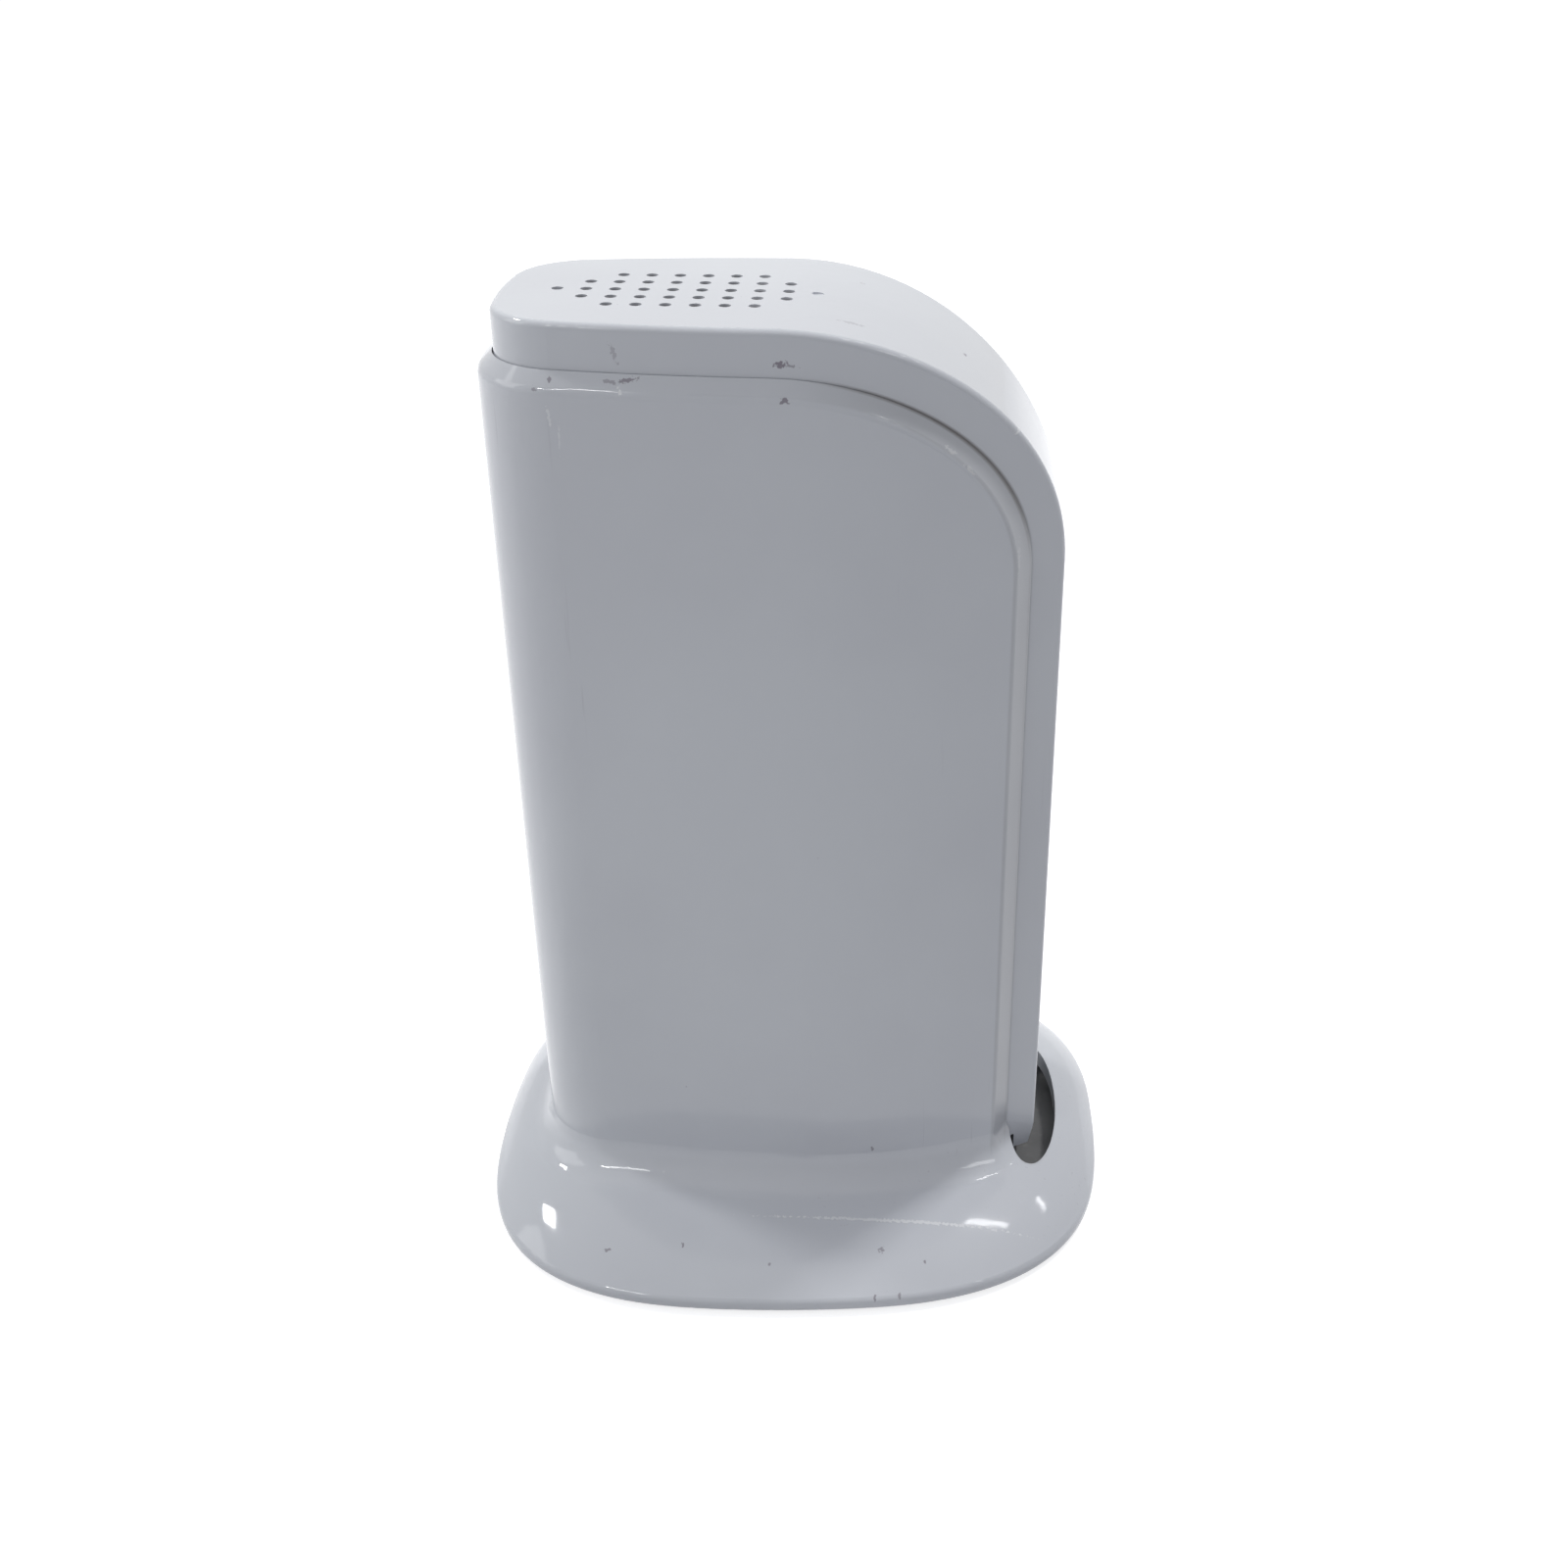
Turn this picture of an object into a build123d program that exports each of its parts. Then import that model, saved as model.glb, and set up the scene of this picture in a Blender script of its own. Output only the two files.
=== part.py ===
from build123d import *
import math
import os

os.makedirs("parts", exist_ok=True)

# A tower router. +Z is up, the nose points to -X, the ports face +X, and Z = 0 is the table under its feet.

# Outline of the cover in plan: two long side arcs meet at the widest point, with a round-cornered nose
cover_half_width = 25.0
widest_x = 2.9
nose_x = -49.3
rear_x = 50.0
front_side_radius = 260.0
rear_side_radius = 92.0
nose_radius = 85.0
nose_corner_radius = 14.0

# Side view: a flat top that turns down the back through a quarter ellipse
height = 183.5
shoulder_x = -0.6
shoulder_z = 139.5
band_top = 7.2
band_rear = 5.8

# Walls and edges of the two mouldings
shell_wall = 2.7
cover_gap = 0.25
cover_wall = 2.0
shell_bevel = 3.3
shell_edge_radius = 1.8
cover_edge_radius = 1.2
cover_lip = 6.0
cover_foot_z = 8.8
foot_chamfer_run = 1.2
foot_chamfer_rise = 4.6
foot_slit_width = 0.7
foot_slit_rise = 3.4
foot_slit_inset = 4.6

# Flared base: an oblong rim, a little narrower to the rear, that rises to the body as a low dome
base_half_length = 63.65
base_half_width = 55.4
base_squareness = 2.84
base_taper = 0.043
base_outline_points = 32
base_bottom_z = 0.8
base_rim_z = 3.0
dome_zs = (7.0, 9.2, 10.4)
dome_end_shares = (0.71, 0.386, -1.895)
dome_side_insets = (9.5, 18.0, 40.0)
base_seat_end = 3.5
base_seat_side = 6.0
base_wall = 2.2
base_rim_radius = 1.4
base_edge_radius = 0.8
base_fillet_radius = 7.0
well_setback = 1.15
well_half_length = 6.25
well_half_width = 20.9

# Underside
plate_thickness = 1.8
plate_bottom_z = 1.2
plate_gap = 0.2
foot_radius = 6.0
foot_recess = 0.5
foot_end_inset = 17.0
foot_side_inset = 20.0
intake_length = 26.0
intake_width = 2.0
intake_pitch = 6.0
intake_count = 5
boss_radius = 3.3
boss_tie = 0.7
rib_width = 3.0
boss_height = 14.0
front_boss_inset = 18.5
rear_boss_inset = 24.6
pillar_inset = 6.4
pillar_y = 8.0
cover_boss_height = 6.0

# Screws, all of one size
screw_radius = 1.3
screw_head_radius = 2.5
screw_head_height = 0.9
screw_bite = 5.0
screw_hole_gap = 0.2
screw_fit = 0.02
recess_length = 2.6
recess_width = 0.7
recess_depth = 0.5

# Vents in the top
vent_pitch = 5.0
vent_radius = 1.05
vent_inset = 32.8
vent_blind_depth = 0.6
vent_open_columns = 7
vent_row_counts = (6, 8, 10, 8, 6)

# Main board, standing on edge with its parts on the -Y face
board_y = 7.0
board_thickness = 1.6
board_front_gap = 3.9
board_rear_gap = 2.1
board_bottom_z = 16.5
board_headroom = 17.5
board_corner_x = 28.0
board_corner_rise = 6.5
lug_width = 7.0
lug_length = 8.0
lug_depth = 3.2
lower_lug_z = 31.5
upper_lug_drop = 19.0
upper_lug_inset = 12.5
top_lug_inset = 10.7
guide_bottom_z = 26.0
guide_top_z = 90.0
guide_wall = 1.5
guide_gap = 0.2
guide_hold = 4.0

# Status lights in the nose
light_count = 5
light_pitch = 9.0
light_first_z = 104.0
light_radius = 1.25
light_gap = 0.1
light_bar_depth = 2.6
light_bar_half_width = 1.8
light_bar_overhang = 2.4
light_bar_gap = 0.45
led_size = 1.6
led_length = 2.6
led_overhang = 0.6

# Ports on the rear face, in one column
port_gap = 0.2
port_recess = 0.7
jack_width = 16.0
jack_height = 13.4
jack_length = 21.3
plug_width = 11.8
plug_height = 8.0
plug_depth = 14.0
plug_axis = 6.9
latch_width = 6.4
latch_height = 1.5
contact_count = 8
contact_pitch = 1.02
contact_width = 0.45
contact_drop = 2.0
contact_start = 2.0
contact_length = 7.5
contact_thickness = 0.35
jack_zs = {"lan_jack_1": 57.0, "lan_jack_2": 75.0, "lan_jack_3": 93.0, "wan_jack": 113.0}
transformer_size = 9.0
transformer_length = 14.0
transformer_height = 5.6
transformer_space = 4.5
dc_z = 22.8
dc_width = 9.0
dc_height = 11.0
dc_length = 14.0
dc_axis = 6.5
dc_bore_radius = 3.15
dc_bore_depth = 10.0
dc_pin_radius = 1.0
dc_pin_length = 9.0

# Buttons, all running along X with the same clearance
button_gap = 0.3
button_flange = 0.7
button_flange_thickness = 1.2
power_z = 40.5
power_switch_size = 8.5
power_switch_length = 12.5
power_switch_setback = 11.0
power_plunger_size = 3.0
power_travel = 2.0
power_button_radius = 3.1
power_button_stand = 0.6
power_plunger_grip = 3.6
power_plunger_seat = 3.0
button_edge = 0.5
pairing_z = 128.0
reset_z = 136.5
tact_size = 6.2
tact_height = 6.4
tact_length = 3.6
tact_axis = 3.4
tact_setback = 6.4
tact_plunger_radius = 1.6
tact_plunger_stand = 2.0
tact_plunger_seat = 1.0
tact_travel = 0.5
pairing_button_radius = 2.3
pairing_button_stand = 0.6
reset_hole_radius = 1.1
reset_plunger_gap = 0.8

# Parts on the board
chip_x = -14.0
chip_z = 92.0
chip_size = 17.0
chip_height = 1.2
pad_size = 15.0
pad_thickness = 0.5
sink_size = 32.0
sink_base = 2.5
sink_fin_height = 9.5
sink_fin_count = 9
sink_fin_width = 1.4
sink_ear_radius = 4.0
sink_ear_out = 3.0
sink_ear_up = 12.0
pin_radius = 1.5
pin_head_radius = 2.6
pin_head_height = 1.4
pin_barb_radius = 2.1
pin_barb_length = 2.4
pin_hole_gap = 0.1
memory_place = (-10.0, 62.0)
memory_size = (14.0, 9.0, 1.1)
flash_place = (-28.0, 62.0)
flash_size = (8.0, 6.0, 0.9)
crystal_place = (-34.5, 70.0)
crystal_size = (11.0, 4.5, 3.4)
shield_x = -20.5
shield_drop = 32.0
shield_size = (28.0, 22.0, 3.2)
shield_wall = 0.4
capacitor_zs = (27.0, 37.5, 48.0)
capacitor_x = -8.0
capacitor_radius = 4.0
capacitor_height = 11.0
capacitor_groove = 0.4
inductor_zs = (34.0, 45.0)
inductor_x = 12.0
inductor_size = 8.5
inductor_height = 4.2
inductor_corner = 2.1

# Antenna board under the vents
antenna_headroom = 10.0
antenna_thickness = 1.0
antenna_front_run = 8.0
antenna_length = 27.0
antenna_half_width = 14.0
antenna_boss_run = 13.0
antenna_boss_y = 9.5
antenna_boss_radius = 2.8
antenna_screw_bite = 2.5
socket_xs = (-4.0, 4.0)
socket_drop = 14.0
socket_radius = 1.4
socket_height = 1.3
lead_radius = 0.6
lead_bow = 6.0
lead_bend = 4.0

# Worked-out places
shell_growth = shell_wall + cover_gap
dome_top_z = dome_zs[-1]
well_x = rear_x - well_setback
front_boss_x = nose_x + front_boss_inset
rear_boss_x = rear_x - rear_boss_inset
pillar_x = rear_x - pillar_inset
vent_x = nose_x + vent_inset
board_front_x = nose_x + board_front_gap
board_top_z = height - board_headroom
board_corner_z = reset_z + board_corner_rise
upper_lug_z = board_top_z - upper_lug_drop
top_lug_x = nose_x + top_lug_inset
socket_z = board_top_z - socket_drop
shield_place = (shield_x, board_top_z - shield_drop)
antenna_z = height - antenna_headroom
antenna_front_x = shoulder_x - antenna_front_run
antenna_boss_x = shoulder_x + antenna_boss_run
plate_top_z = plate_bottom_z + plate_thickness
board_back_y = board_y + board_thickness
board_rear_x = rear_x - cover_wall - board_rear_gap
port_front_x = rear_x - port_recess
inner_rear_x = rear_x - cover_wall
nose_inner_x = nose_x - cover_gap
nose_outer_x = nose_x - shell_growth
plug_y = board_y - plug_axis
dc_y = board_y - dc_axis
power_y = board_y - power_switch_size / 2
tact_y = board_y - tact_axis
power_switch_x = inner_rear_x - power_switch_setback
tact_x = inner_rear_x - tact_setback
sink_y = board_y - chip_height - pad_thickness
antenna_top_z = antenna_z + antenna_thickness
base_front_run = base_half_length + nose_outer_x
dome_half_lengths = [share * base_front_run - nose_outer_x for share in dome_end_shares]
dome_half_widths = [base_half_width - inset for inset in dome_side_insets]
dome_rings = list(zip(dome_zs, dome_half_lengths, dome_half_widths))
seat_half_length = base_half_length - base_seat_end
seat_half_width = base_half_width - base_seat_side
foot_x = seat_half_length - foot_end_inset
foot_y = seat_half_width - foot_side_inset
far_left = nose_x - shell_growth - base_half_length
reach = base_half_length + base_half_width

# Planes that pieces are drawn on
side_plane = Plane.XZ.offset(-reach)
board_face = Plane.XZ.offset(-board_y)
board_back = Plane.XZ.offset(-board_back_y)
rear_face = Plane.YZ.offset(rear_x)
port_face = Plane.YZ.offset(port_front_x)
flange_plane = Plane.YZ.offset(inner_rear_x - button_gap)
sink_back = Plane.XZ.offset(-sink_y)
sink_face = sink_back.offset(sink_base)
plate_face = Plane.XY.offset(plate_bottom_z)
antenna_screw_face = Plane.XY.offset(antenna_z - screw_head_height)
board_screw_face = Plane((0, board_y - screw_head_height, 0), x_dir=(-1, 0, 0), z_dir=(0, 1, 0))


def plan_half_width(x):
    # Half the cover's width at a distance along its sides
    radius = rear_side_radius if x > widest_x else front_side_radius
    return cover_half_width - radius + math.sqrt(radius**2 - (x - widest_x) ** 2)


def body_plan(growth):
    # The body seen from above: the cover's outline, grown or shrunk evenly by moving every arc out or in
    front_turn = math.degrees(math.asin((widest_x - nose_x + growth) / (front_side_radius + growth)))
    rear_turn = math.degrees(math.asin((rear_x + growth - widest_x) / (rear_side_radius + growth)))
    widest = (widest_x, cover_half_width + growth)
    with BuildLine() as outline:
        rear_side = JernArc(widest, (1, 0), rear_side_radius + growth, -rear_turn)
        front_side = JernArc(widest, (-1, 0), front_side_radius + growth, front_turn)
        Line(rear_side @ 1, (rear_x + growth, 0))
        Line(front_side @ 1, ((front_side @ 1).X, 0))
        mirror(about=Plane.XZ)
    make_face(outline.edges())
    with Locations((nose_x + nose_radius, 0)):
        Circle(nose_radius + growth, mode=Mode.INTERSECT)
    fillet(vertices().sort_by(Axis.X)[:2], nose_corner_radius + growth)


def side_view(top_margin, rear_margin, bottom):
    # The body seen from the side, drawn in from the cover's outline at its top and back
    top = height - top_margin
    rear = rear_x - rear_margin
    with BuildLine() as outline:
        shoulder = EllipticalCenterArc(
            (shoulder_x, shoulder_z), rear - shoulder_x, top - shoulder_z, 0, arc_size=90
        )
        Polyline(shoulder @ 1, (far_left, top), (far_left, bottom), (rear, bottom), shoulder @ 0)
    make_face(outline.edges())


def oval(half_length, half_width):
    # A rounded oblong, squarer than an ellipse and a little narrower to the rear
    power = 2 / base_squareness
    points = []
    for step in range(base_outline_points):
        angle = math.tau * (step + 0.5) / base_outline_points
        x = math.copysign(abs(math.cos(angle)) ** power, math.cos(angle))
        y = math.copysign(abs(math.sin(angle)) ** power, math.sin(angle))
        points.append((half_length * x, half_width * y * (1 - base_taper * x)))
    with BuildLine() as outline:
        Spline(points, periodic=True)
    make_face(outline.edges())


def crown_edges():
    # The edges where the top, shoulder and back of a moulding meet its sides
    crown = faces().filter_by(GeomType.EXTRUSION)
    crown += [faces().sort_by(Axis.Z)[-1], faces().sort_by(Axis.X)[-1]]
    found = ShapeList()
    for face in crown:
        found += face.edges().filter_by(Axis.Y, reverse=True)
    floor = found.sort_by(Axis.Z)[0].bounding_box().min.Z
    return found.filter_by(lambda edge: edge.bounding_box().max.Z > floor + shell_edge_radius)


def bevel_edges():
    # Both edges of the bevel round the shell's top and back
    found = ShapeList()
    for face in faces().filter_by(GeomType.CYLINDER):
        found += face.edges()
    level = found.filter_by(Axis.Z, reverse=True)
    floor = level.sort_by(Axis.Z)[0].bounding_box().min.Z
    outer = level.filter_by(lambda edge: edge.bounding_box().min.Z > floor + shell_bevel)
    outer += found.filter_by(Axis.Z).sort_by(Axis.X)[-2:]
    inner = faces().sort_by(Axis.X)[-1].edges().filter_by(Axis.Z)
    return outer + inner


def keep(piece, name):
    # Label a finished piece and write it to its own file
    piece.part.label = name
    export_step(piece.part, f"parts/{name}.step")


def discs(plane, places, radius, depth, mode=Mode.ADD):
    # Round bosses or holes at several places on a plane
    with BuildSketch(plane) as rounds:
        with Locations(*places):
            Circle(radius)
    extrude(rounds.sketch, amount=depth, mode=mode)


def block(plane, place, length, width, depth, mode=Mode.ADD):
    # A square-edged block or pocket standing on a plane
    with BuildSketch(plane) as footprint:
        with Locations(place):
            Rectangle(length, width)
    extrude(footprint.sketch, amount=depth, mode=mode)


def screw_set(plane, places, shank_length):
    # Pan-head screws driven along the plane's normal, with a cross recess in each head
    discs(plane, places, screw_head_radius, screw_head_height)
    discs(plane, places, screw_radius, screw_head_height + shank_length)
    for place in places:
        block(plane, place, recess_length, recess_width, recess_depth, Mode.SUBTRACT)
        block(plane, place, recess_width, recess_length, recess_depth, Mode.SUBTRACT)


# Places that several pieces share
shell_boss_places = []
for boss_x in (front_boss_x, rear_boss_x):
    boss_y = plan_half_width(boss_x) + cover_gap + boss_tie - boss_radius
    shell_boss_places += [(boss_x, boss_y), (boss_x, -boss_y)]
pillar_places = [(pillar_x, pillar_y), (pillar_x, -pillar_y)]
foot_places = [(x, y) for x in (-foot_x, foot_x) for y in (-foot_y, foot_y)]
antenna_boss_places = [(antenna_boss_x, antenna_boss_y), (antenna_boss_x, -antenna_boss_y)]
lug_x = board_rear_x - lug_length / 2
top_lug_z = board_top_z - lug_length / 2
rear_lug_places = [(lug_x, lower_lug_z), (lug_x - upper_lug_inset, upper_lug_z)]
lug_places = rear_lug_places + [(top_lug_x, top_lug_z)]
light_places = [(0, light_first_z + light_pitch * step) for step in range(light_count)]
ear_x = sink_size / 2 + sink_ear_out
ear_places = [(chip_x + side * ear_x, chip_z - side * sink_ear_up) for side in (1, -1)]
vent_places = []
for row, count in enumerate(vent_row_counts):
    y = vent_pitch * (row - (len(vent_row_counts) - 1) / 2)
    vent_places += [(vent_x + vent_pitch * (step - (count - 1) / 2), y) for step in range(count)]
vent_open_x = vent_x + vent_pitch * (vent_open_columns - max(vent_row_counts) / 2)
open_vents = [place for place in vent_places if place[0] < vent_open_x]

# Main shell: nose, sides and flared base in one moulding
with BuildPart() as main_shell:
    with BuildSketch(Plane.XY.offset(base_rim_z)):
        body_plan(shell_growth)
    extrude(amount=height)
    with BuildSketch(side_plane):
        side_view(band_top, band_rear, 0)
    extrude(amount=2 * reach, mode=Mode.INTERSECT)
    chamfer(crown_edges(), shell_bevel)
    fillet(bevel_edges(), shell_edge_radius)
    with BuildSketch(Plane.XY.offset(base_bottom_z)):
        oval(base_half_length, base_half_width)
    extrude(amount=base_rim_z - base_bottom_z)
    with BuildSketch(Plane.XY.offset(base_rim_z)):
        oval(base_half_length, base_half_width)
    for z, half_length, half_width in dome_rings:
        with BuildSketch(Plane.XY.offset(z)):
            oval(half_length, half_width)
    loft()
    body_foot = edges().filter_by_position(Axis.Z, dome_zs[0], dome_top_z)
    fillet(body_foot, base_fillet_radius)
    fillet(edges().filter_by_position(Axis.Z, base_rim_z, base_rim_z), base_rim_radius)
    fillet(edges().filter_by_position(Axis.Z, base_bottom_z, base_bottom_z), base_edge_radius)
    # Hollow for the cover and the board, the rear well, and the space over the base plate
    with BuildSketch(Plane.XY):
        body_plan(cover_gap)
    extrude(amount=height, mode=Mode.SUBTRACT)
    with BuildSketch(Plane.XY):
        with Locations((well_x, 0)):
            Ellipse(well_half_length, well_half_width)
    extrude(amount=dome_top_z + 2 * base_fillet_radius, mode=Mode.SUBTRACT)
    with BuildSketch(Plane.XY):
        oval(seat_half_length, seat_half_width)
    extrude(amount=plate_top_z, mode=Mode.SUBTRACT)
    with BuildSketch(Plane.XY.offset(plate_top_z)):
        oval(seat_half_length, seat_half_width)
    for z, half_length, half_width in dome_rings[:-1]:
        with BuildSketch(Plane.XY.offset(z - base_wall)):
            oval(half_length - base_seat_end, half_width - base_seat_side)
    loft(ruled=True, mode=Mode.SUBTRACT)
    # Screw bosses, board guides and light holes
    discs(Plane.XY.offset(plate_top_z), shell_boss_places, boss_radius, boss_height)
    discs(Plane.XY, shell_boss_places, screw_radius + screw_fit, plate_top_z + screw_bite, Mode.SUBTRACT)
    guide_length = board_front_x + guide_hold - nose_x + shell_wall / 2
    guide_x = board_front_x + guide_hold - guide_length / 2
    guide_offset = board_thickness / 2 + guide_gap + guide_wall / 2
    for side in (-1, 1):
        guide_place = (guide_x, board_y + board_thickness / 2 + side * guide_offset)
        guide_plane = Plane.XY.offset(guide_bottom_z)
        block(guide_plane, guide_place, guide_length, guide_wall, guide_top_z - guide_bottom_z)
    nose_plane = Plane.YZ.offset(nose_outer_x - shell_wall)
    discs(nose_plane, light_places, light_radius + light_gap, 3 * shell_wall, Mode.SUBTRACT)
keep(main_shell, "main_shell")

# Inside of the cover, and the limit that its inner fittings run to in the middle of its wall
with BuildPart() as cover_core:
    with BuildSketch(Plane.XY):
        body_plan(-cover_wall)
    extrude(amount=height)
    with BuildSketch(side_plane):
        side_view(cover_wall, cover_wall, 0)
    extrude(amount=2 * reach, mode=Mode.INTERSECT)

with BuildPart() as cover_fittings:
    # Lugs that the main board is screwed to
    for x, z in rear_lug_places:
        lug_run = rear_x - x + lug_length / 2
        block(board_back, (rear_x - lug_run / 2, z), lug_run, lug_width, -lug_depth)
    top_lug_run = height - board_top_z + lug_length
    block(board_back, (top_lug_x, height - top_lug_run / 2), lug_width, top_lug_run, -lug_depth)
    # Bosses for the antenna board, and for the two screws that come up through the base
    discs(Plane.XY.offset(antenna_top_z), antenna_boss_places, antenna_boss_radius, height)
    discs(Plane.XY.offset(cover_foot_z), pillar_places, boss_radius, cover_boss_height)
    for x, y in pillar_places:
        rib_place = ((x + rear_x) / 2, y)
        block(Plane.XY.offset(cover_foot_z), rib_place, rear_x - x, rib_width, cover_boss_height)
    with BuildSketch(Plane.XY):
        body_plan(-cover_wall / 2)
    extrude(amount=2 * height, mode=Mode.INTERSECT)
    with BuildSketch(side_plane):
        side_view(cover_wall / 2, cover_wall / 2, 0)
    extrude(amount=2 * reach, mode=Mode.INTERSECT)

# Cover: vented top, shoulder and back in one moulding, set inside the shell's walls
with BuildPart() as rear_cover:
    with BuildSketch(Plane.XY.offset(cover_foot_z)):
        body_plan(0)
    extrude(amount=height)
    with BuildSketch(side_plane):
        side_view(0, 0, cover_foot_z)
    extrude(amount=2 * reach, mode=Mode.INTERSECT)
    fillet(crown_edges(), cover_edge_radius)
    add(cover_core.part, mode=Mode.SUBTRACT)
    with BuildSketch(side_plane):
        side_view(band_top + cover_lip, band_rear + cover_lip, 0)
    extrude(amount=2 * reach, mode=Mode.SUBTRACT)
    # Foot: a bevel at the back and a slit at each side
    with BuildSketch(side_plane):
        with BuildLine():
            Polyline(
                (rear_x - foot_chamfer_run, cover_foot_z),
                (rear_x, cover_foot_z),
                (rear_x, cover_foot_z + foot_chamfer_rise),
                close=True,
            )
        make_face()
    extrude(amount=2 * reach, mode=Mode.SUBTRACT)
    slit_place = (rear_x - foot_slit_inset, cover_foot_z)
    block(side_plane, slit_place, foot_slit_width, 2 * foot_slit_rise, 2 * reach, Mode.SUBTRACT)
    add(cover_fittings.part)
    # Vents: the columns nearest the shoulder are closed just under the surface
    discs(Plane.XY.offset(height), vent_places, vent_radius, -vent_blind_depth, Mode.SUBTRACT)
    discs(Plane.XY.offset(height), open_vents, vent_radius, -2 * cover_wall, Mode.SUBTRACT)
    # Ports and buttons in the back
    jack_y = board_y - jack_height / 2
    for z in jack_zs.values():
        cut_height = jack_height + 2 * port_gap
        cut_width = jack_width + 2 * port_gap
        block(rear_face, (jack_y, z), cut_height, cut_width, -2 * cover_wall, Mode.SUBTRACT)
    dc_place = (board_y - dc_height / 2, dc_z)
    dc_cut = (dc_height + 2 * port_gap, dc_width + 2 * port_gap)
    block(rear_face, dc_place, dc_cut[0], dc_cut[1], -2 * cover_wall, Mode.SUBTRACT)
    button_hole_depth = -2 * cover_wall
    power_hole = power_button_radius + button_gap
    pairing_hole = pairing_button_radius + button_gap
    discs(rear_face, [(power_y, power_z)], power_hole, button_hole_depth, Mode.SUBTRACT)
    discs(rear_face, [(tact_y, pairing_z)], pairing_hole, button_hole_depth, Mode.SUBTRACT)
    discs(rear_face, [(tact_y, reset_z)], reset_hole_radius, button_hole_depth, Mode.SUBTRACT)
    # Pilot holes for the screws
    pilot_radius = screw_radius + screw_fit
    discs(board_back, lug_places, pilot_radius, -lug_depth, Mode.SUBTRACT)
    discs(Plane.XY.offset(antenna_top_z), antenna_boss_places, pilot_radius, antenna_screw_bite, Mode.SUBTRACT)
    discs(Plane.XY.offset(cover_foot_z), pillar_places, pilot_radius, screw_bite, Mode.SUBTRACT)
keep(rear_cover, "rear_cover")

# Base plate with its pillars, foot recesses and air slots
with BuildPart() as base_plate:
    with BuildSketch(plate_face):
        oval(seat_half_length - plate_gap, seat_half_width - plate_gap)
    extrude(amount=plate_thickness)
    discs(Plane.XY.offset(plate_top_z), pillar_places, boss_radius, cover_foot_z - plate_top_z)
    discs(plate_face, foot_places, foot_radius + plate_gap / 2, foot_recess, Mode.SUBTRACT)
    head_hole = screw_head_radius + screw_hole_gap
    screw_hole = screw_radius + screw_hole_gap
    discs(plate_face, shell_boss_places + pillar_places, head_hole, screw_head_height, Mode.SUBTRACT)
    discs(plate_face, shell_boss_places + pillar_places, screw_hole, cover_foot_z, Mode.SUBTRACT)
    with BuildSketch(plate_face):
        with GridLocations(0, intake_pitch, 1, intake_count):
            SlotOverall(intake_length, intake_width)
    extrude(amount=plate_thickness, mode=Mode.SUBTRACT)
keep(base_plate, "base_plate")

with BuildPart() as rubber_feet:
    discs(Plane.XY, foot_places, foot_radius, plate_bottom_z + foot_recess)
    chamfer(edges().filter_by_position(Axis.Z, 0, 0), foot_recess)
keep(rubber_feet, "rubber_feet")

with BuildPart() as base_screws:
    screw_set(plate_face, shell_boss_places, plate_thickness - screw_head_height + screw_bite - screw_fit)
keep(base_screws, "base_screws")

with BuildPart() as cover_screws:
    pillar_shank = cover_foot_z - plate_bottom_z - screw_head_height + screw_bite - screw_fit
    screw_set(plate_face, pillar_places, pillar_shank)
keep(cover_screws, "cover_screws")

# Main board and its screws
with BuildPart() as main_board:
    with BuildSketch(board_face):
        with BuildLine():
            Polyline(
                (board_front_x, board_bottom_z),
                (board_rear_x, board_bottom_z),
                (board_rear_x, board_corner_z),
                (board_corner_x, board_top_z),
                (board_front_x, board_top_z),
                close=True,
            )
        make_face()
    extrude(amount=-board_thickness)
    discs(board_face, lug_places, screw_radius + screw_hole_gap, -board_thickness, Mode.SUBTRACT)
    discs(board_face, ear_places, pin_radius + pin_hole_gap, -board_thickness, Mode.SUBTRACT)
keep(main_board, "main_board")

with BuildPart() as board_screws:
    board_screw_places = [(-x, z) for x, z in lug_places]
    screw_set(board_screw_face, board_screw_places, board_thickness + lug_depth - screw_fit)
keep(board_screws, "board_screws")

# Status lights: LEDs on the board's front edge, and one clear moulding that brings them to the nose
with BuildPart() as status_leds:
    led_x = board_front_x - led_overhang + led_length / 2
    for place in light_places:
        block(board_face, (led_x, place[1]), led_length, led_size, led_size)
keep(status_leds, "status_leds")

with BuildPart() as light_pipe:
    bar_plane = Plane.YZ.offset(nose_inner_x + light_bar_gap)
    bar_top_y = board_y - light_gap
    bar_z = light_first_z + light_pitch * (light_count - 1) / 2
    bar_place = ((bar_top_y - light_bar_half_width) / 2, bar_z)
    bar_width = bar_top_y + light_bar_half_width
    bar_length = light_pitch * (light_count - 1) + 2 * light_bar_overhang
    block(bar_plane, bar_place, bar_width, bar_length, light_bar_depth)
    discs(bar_plane, light_places, light_radius, nose_outer_x - nose_inner_x - light_bar_gap)
keep(light_pipe, "light_pipe")

# Processor with its pad, heat sink and push pins
with BuildPart() as processor:
    block(board_face, (chip_x, chip_z), chip_size, chip_size, chip_height)
keep(processor, "processor")

with BuildPart() as thermal_pad:
    block(board_face.offset(chip_height), (chip_x, chip_z), pad_size, pad_size, pad_thickness)
keep(thermal_pad, "thermal_pad")

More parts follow.
